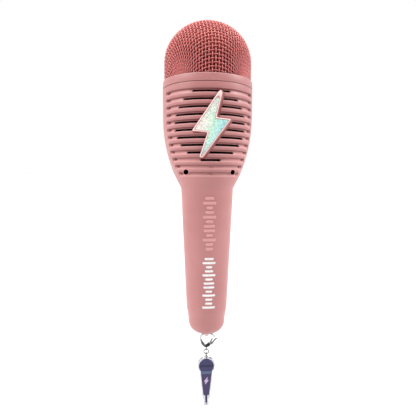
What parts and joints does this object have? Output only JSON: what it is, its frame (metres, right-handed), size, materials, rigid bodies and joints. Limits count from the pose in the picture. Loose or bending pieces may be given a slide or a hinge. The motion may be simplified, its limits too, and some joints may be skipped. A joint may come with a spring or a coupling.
{
  "type": "toy karaoke microphone",
  "caption": "Handheld toy microphone with a wire-mesh dome head, a slotted speaker grille with a lightning badge, a tapered grip, rear controls and a clasp with a clear charm.",
  "frame": {"origin": "on the microphone's axis at the middle of the grip, where a hand holds it", "axes": "+Z along the axis from the tail to the head, -Y out of the speaker grille and badge, +X to the viewer's right"},
  "size_m": [0.07, 0.0717, 0.3116],
  "materials": {
    "casing": "soft matte dusty rose",
    "badge_rim": "satin pale rose",
    "holographic_foil": "speckled holographic foil, cream to mint to cyan",
    "wire_mesh": "woven wire painted rose",
    "foam": "open-cell red foam",
    "black_plastic": "matte black",
    "black_rubber": "soft black",
    "bright_metal": "polished nickel plate",
    "black_cloth": "fine black grille cloth",
    "dark_steel": "black zinc",
    "black_paper": "coated paper cone",
    "copper": "enamelled copper wire",
    "circuit_board": "green solder mask",
    "cell_wrap": "shrink wrap",
    "control_panel": "darker rose, fine texture",
    "light_lens": "clear light pipe",
    "button_caps": "satin off-white",
    "clear_acrylic": "clear polished acrylic",
    "charm_ink": "printed purple and navy ink"
  },
  "bodies": {
    "microphone": {"front_shell": "casing", "rear_shell": "casing", "tail_cap": "casing", "head_ring": "casing", "badge_frame": "badge_rim", "badge_foil": "holographic_foil", "head_mesh": "wire_mesh", "head_foam": "foam", "capsule_carrier": "black_plastic", "capsule_holder": "black_rubber", "mic_capsule": "bright_metal", "speaker_cloth": "black_cloth", "speaker_gasket": "black_rubber", "speaker_basket": "dark_steel", "speaker_surround": "black_rubber", "speaker_cone": "black_paper", "dust_cap": "black_paper", "voice_coil": "copper", "speaker_magnet": "dark_steel", "main_board": "circuit_board", "audio_chip": "black_plastic", "power_switch": "black_plastic", "mode_switch": "black_plastic", "volume_down_switch": "black_plastic", "volume_up_switch": "black_plastic", "usb_socket": "bright_metal", "usb_tongue": "black_plastic", "battery_cell": "cell_wrap", "battery_cradle": "black_plastic", "control_pad": "control_panel", "port_surround": "control_panel", "status_light": "light_lens", "grille_screw_left": "dark_steel", "grille_screw_right": "dark_steel", "case_screw_left": "dark_steel", "case_screw_right": "dark_steel"},
    "power_key": {"power_button": "button_caps"},
    "mode_key": {"mode_button": "button_caps"},
    "volume_down_key": {"volume_down_button": "button_caps"},
    "volume_up_key": {"volume_up_button": "button_caps"},
    "clasp": {"clasp_hook": "bright_metal", "clasp_pin": "bright_metal"},
    "lever": {"clasp_lever": "bright_metal"},
    "swivel": {"swivel_eye": "bright_metal"},
    "ring": {"jump_ring": "bright_metal"},
    "link": {"link_ring": "bright_metal"},
    "charm": {"charm_plate": "clear_acrylic", "charm_print": "charm_ink"}
  },
  "joints": [
    {"name": "power_press", "type": "slide", "parent": "microphone", "child": "power_key", "axis": [0, -1, 0], "range_m": [0, 0.0006], "stiffness_N_per_m": 1500},
    {"name": "mode_press", "type": "slide", "parent": "microphone", "child": "mode_key", "axis": [0, -1, 0], "range_m": [0, 0.0006], "stiffness_N_per_m": 1500},
    {"name": "volume_down_press", "type": "slide", "parent": "microphone", "child": "volume_down_key", "axis": [0, -1, 0], "range_m": [0, 0.0006], "stiffness_N_per_m": 1500},
    {"name": "volume_up_press", "type": "slide", "parent": "microphone", "child": "volume_up_key", "axis": [0, -1, 0], "range_m": [0, 0.0006], "stiffness_N_per_m": 1500},
    {"name": "clasp_swing", "type": "hinge", "parent": "microphone", "child": "clasp", "pos_m": [0, 0, -0.0713], "axis": [1, 0, 0], "range_deg": [-50, 50]},
    {"name": "lever_open", "type": "hinge", "parent": "clasp", "child": "lever", "pos_m": [0.0018, 0, -0.0802], "axis": [0, 1, 0], "range_deg": [0, 22], "stiffness_Nm_per_rad": 0.02},
    {"name": "swivel_turn", "type": "hinge", "parent": "clasp", "child": "swivel", "pos_m": [0, 0, -0.081], "axis": [0, 0, 1], "continuous": true},
    {"name": "ring_swing", "type": "hinge", "parent": "swivel", "child": "ring", "pos_m": [0, 0, -0.0845], "axis": [1, 0, 0], "range_deg": [-35, 35]},
    {"name": "link_swing", "type": "hinge", "parent": "ring", "child": "link", "pos_m": [0, 0, -0.0885], "axis": [1, 0, 0], "range_deg": [-30, 30]},
    {"name": "charm_sway", "type": "hinge", "parent": "link", "child": "charm", "pos_m": [0, 0, -0.0925], "axis": [0, 1, 0], "range_deg": [-35, 35]}
  ]
}
